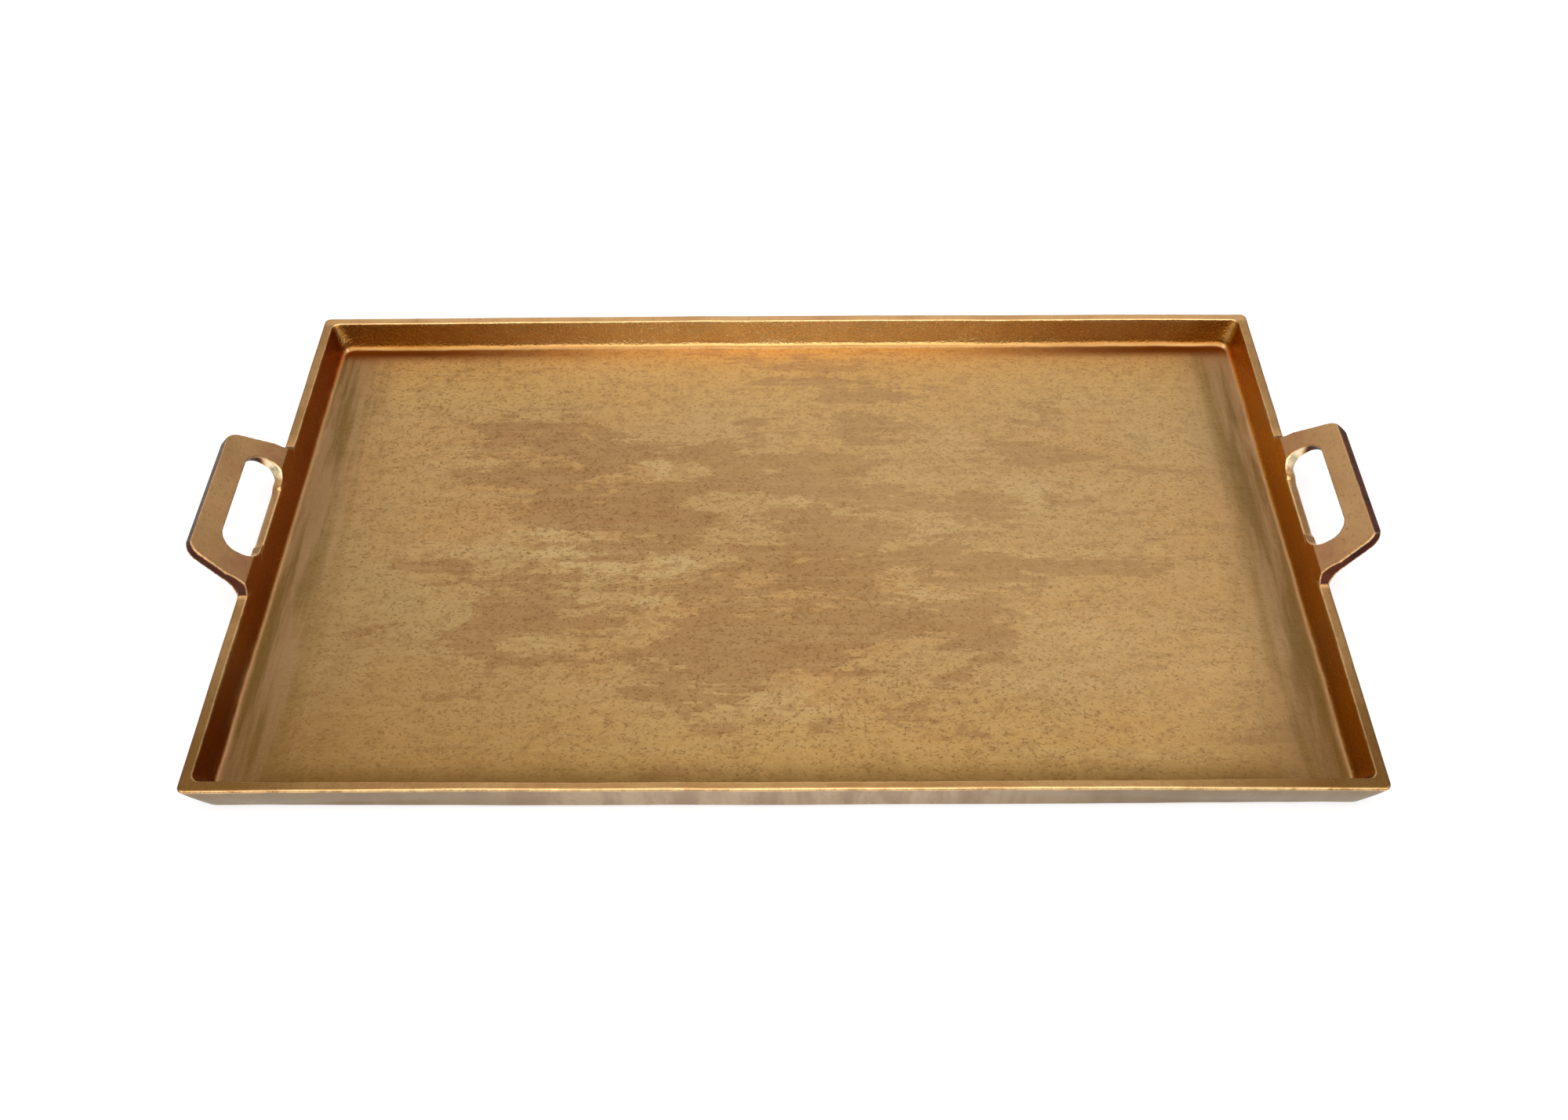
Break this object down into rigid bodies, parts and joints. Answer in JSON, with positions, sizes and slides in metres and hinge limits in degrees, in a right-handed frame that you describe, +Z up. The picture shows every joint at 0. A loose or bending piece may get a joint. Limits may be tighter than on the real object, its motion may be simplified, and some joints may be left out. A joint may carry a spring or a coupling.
{
  "type": "cast brass serving tray",
  "caption": "Rectangular cast brass serving tray with low flared walls, a flat rim, a mottled patina and upswept loop handles on the short sides.",
  "frame": {"origin": "on the resting plane under the pads, below the middle of the tray", "axes": "+X along the long side towards the right handle, +Y to the back, +Z up out of the dish"},
  "size_m": [0.6648, 0.385, 0.0492],
  "materials": {
    "cast_brass": "sand-cast brass, dressed and aged, satin, with a mottled brown patina on the floor",
    "handle_brass": "sand-cast brass, filed smooth, satin with bright handled edges",
    "braze_metal": "copper-toned brazing metal, dressed smooth",
    "felt": "pressed dark brown felt, matt"
  },
  "bodies": {
    "root": {"tray_pan": "cast_brass", "handle_left": "handle_brass", "handle_right": "handle_brass", "braze_left": "braze_metal", "braze_right": "braze_metal", "foot_pad_front_left": "felt", "foot_pad_front_right": "felt", "foot_pad_back_left": "felt", "foot_pad_back_right": "felt"}
  },
  "joints": []
}
